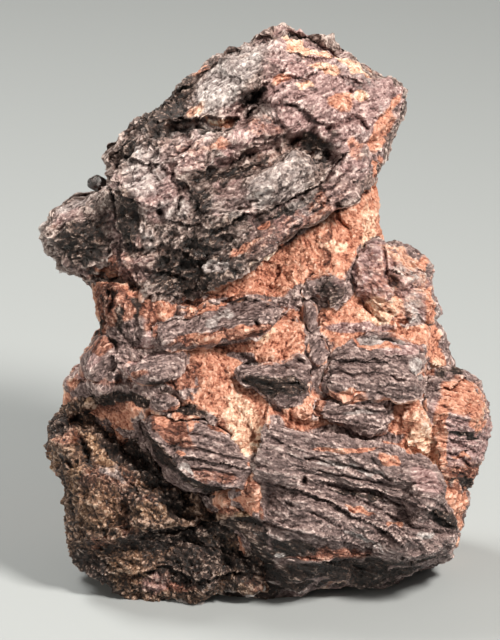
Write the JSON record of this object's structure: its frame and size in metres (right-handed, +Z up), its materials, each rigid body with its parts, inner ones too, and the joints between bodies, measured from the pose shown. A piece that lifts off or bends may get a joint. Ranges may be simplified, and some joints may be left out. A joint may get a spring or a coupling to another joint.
{
  "type": "cyrtolite specimen in feldspar",
  "caption": "Hand-sized broken rock: dark striated cyrtolite crystals and a large leaning cyrtolite mass, grown in orange granular feldspar; it stands on its broken base.",
  "frame": {"origin": "under the middle of the bounding box, on the surface that the stone stands on", "axes": "+Z up, +X to the right of the face shown in the picture, +Y to the back"},
  "size_m": [0.0674, 0.0478, 0.081],
  "materials": {
    "striated_cyrtolite": "purplish grey-brown, finely striated, waxy to dull",
    "speckled_cyrtolite": "grey and pinkish, finely speckled, with small bright faces",
    "brown_cyrtolite": "near-black brown, rough, with rusty and grey speckle",
    "iron_stained_feldspar": "salmon orange, granular, sugary",
    "dark_bead": "nearly black, glassy"
  },
  "bodies": {
    "root": {"upper_mass": "speckled_cyrtolite", "lower_bundle": "striated_cyrtolite", "left_slab": "striated_cyrtolite", "left_flank": "brown_cyrtolite", "right_fan": "striated_cyrtolite", "right_knot": "striated_cyrtolite", "upper_left_blade": "striated_cyrtolite", "lower_left_blade": "striated_cyrtolite", "left_edge_crystal": "striated_cyrtolite", "centre_blade": "striated_cyrtolite", "right_blade": "striated_cyrtolite", "lower_blade": "striated_cyrtolite", "upright_crystal": "striated_cyrtolite", "drop_crystal": "striated_cyrtolite", "neck_crystal": "striated_cyrtolite", "small_knob": "striated_cyrtolite", "bead_crystal": "dark_bead", "feldspar_matrix": "iron_stained_feldspar"}
  },
  "joints": []
}
